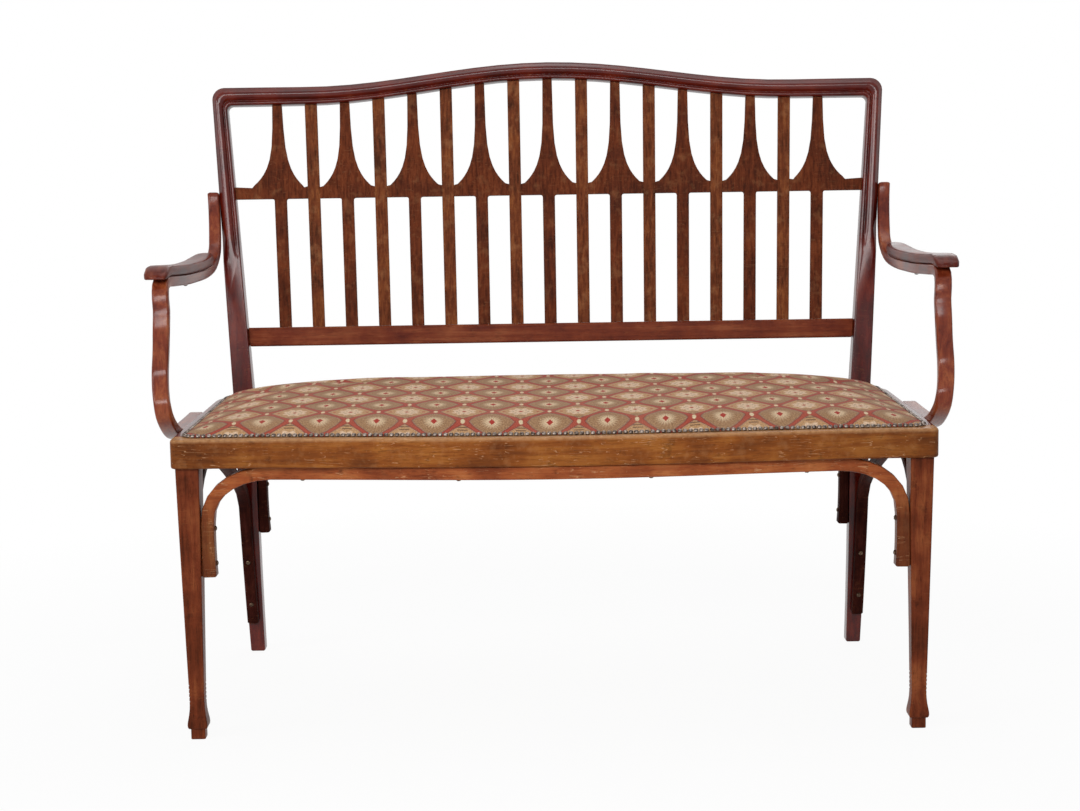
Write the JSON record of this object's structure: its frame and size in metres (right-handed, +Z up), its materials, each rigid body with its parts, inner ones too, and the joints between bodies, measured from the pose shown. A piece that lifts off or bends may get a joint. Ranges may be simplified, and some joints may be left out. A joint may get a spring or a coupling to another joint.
{
  "type": "bentwood settee",
  "caption": "Bentwood settee with a moulded bent back, fretted and plain slats, bent arms and a nailed upholstered seat.",
  "frame": {"origin": "centre of the settee's footprint box, on the floor", "axes": "+X along the seat to the sitter's left as seen from the front, +Y to the back, +Z up; the front faces -Y"},
  "size_m": [1.1972, 0.6368, 1.0064],
  "materials": {
    "frame_wood": "satin polish, red-brown stain",
    "rail_wood": "satin polish, golden brown, worn",
    "slat_wood": "satin polish",
    "hidden_wood": "bare",
    "seat_fabric": "woven lattice pattern",
    "stuffing_fibre": "matte",
    "web_jute": "matte",
    "screw_steel": "aged"
  },
  "bodies": {
    "root": {"back_frame": "frame_wood", "back_lower_rail": "frame_wood", "fret_slat_1": "slat_wood", "fret_slat_2": "slat_wood", "fret_slat_3": "slat_wood", "fret_slat_4": "slat_wood", "fret_slat_5": "slat_wood", "fret_slat_6": "slat_wood", "fret_slat_7": "slat_wood", "fret_slat_8": "slat_wood", "fret_slat_9": "slat_wood", "plain_slat_1": "slat_wood", "plain_slat_2": "slat_wood", "plain_slat_3": "slat_wood", "plain_slat_4": "slat_wood", "plain_slat_5": "slat_wood", "plain_slat_6": "slat_wood", "plain_slat_7": "slat_wood", "plain_slat_8": "slat_wood", "seat_front_rail": "rail_wood", "seat_bent_rail": "frame_wood", "corner_block_left": "hidden_wood", "corner_block_right": "hidden_wood", "seat_webbing": "web_jute", "seat_stuffing": "stuffing_fibre", "seat_cover": "seat_fabric", "front_leg_left": "frame_wood", "front_leg_right": "frame_wood", "front_arch": "rail_wood", "rear_arch": "frame_wood", "side_arch_left": "frame_wood", "side_arch_right": "frame_wood", "arm_left": "frame_wood", "arm_right": "frame_wood", "armrest_left": "frame_wood", "armrest_right": "frame_wood", "screw_front_arch_left_1": "screw_steel", "screw_front_arch_left_2": "screw_steel", "screw_front_arch_right_1": "screw_steel", "screw_front_arch_right_2": "screw_steel", "screw_front_run_left_1": "screw_steel", "screw_front_run_left_2": "screw_steel", "screw_front_run_right_1": "screw_steel", "screw_front_run_right_2": "screw_steel", "screw_rear_arch_left_1": "screw_steel", "screw_rear_arch_left_2": "screw_steel", "screw_rear_arch_right_1": "screw_steel", "screw_rear_arch_right_2": "screw_steel", "screw_side_arch_rear_left_1": "screw_steel", "screw_side_arch_rear_left_2": "screw_steel", "screw_side_arch_rear_right_1": "screw_steel", "screw_side_arch_rear_right_2": "screw_steel", "screw_side_arch_front_left_1": "screw_steel", "screw_side_arch_front_left_2": "screw_steel", "screw_side_arch_front_right_1": "screw_steel", "screw_side_arch_front_right_2": "screw_steel", "screw_armrest_left": "screw_steel", "screw_armrest_right": "screw_steel"}
  },
  "joints": []
}
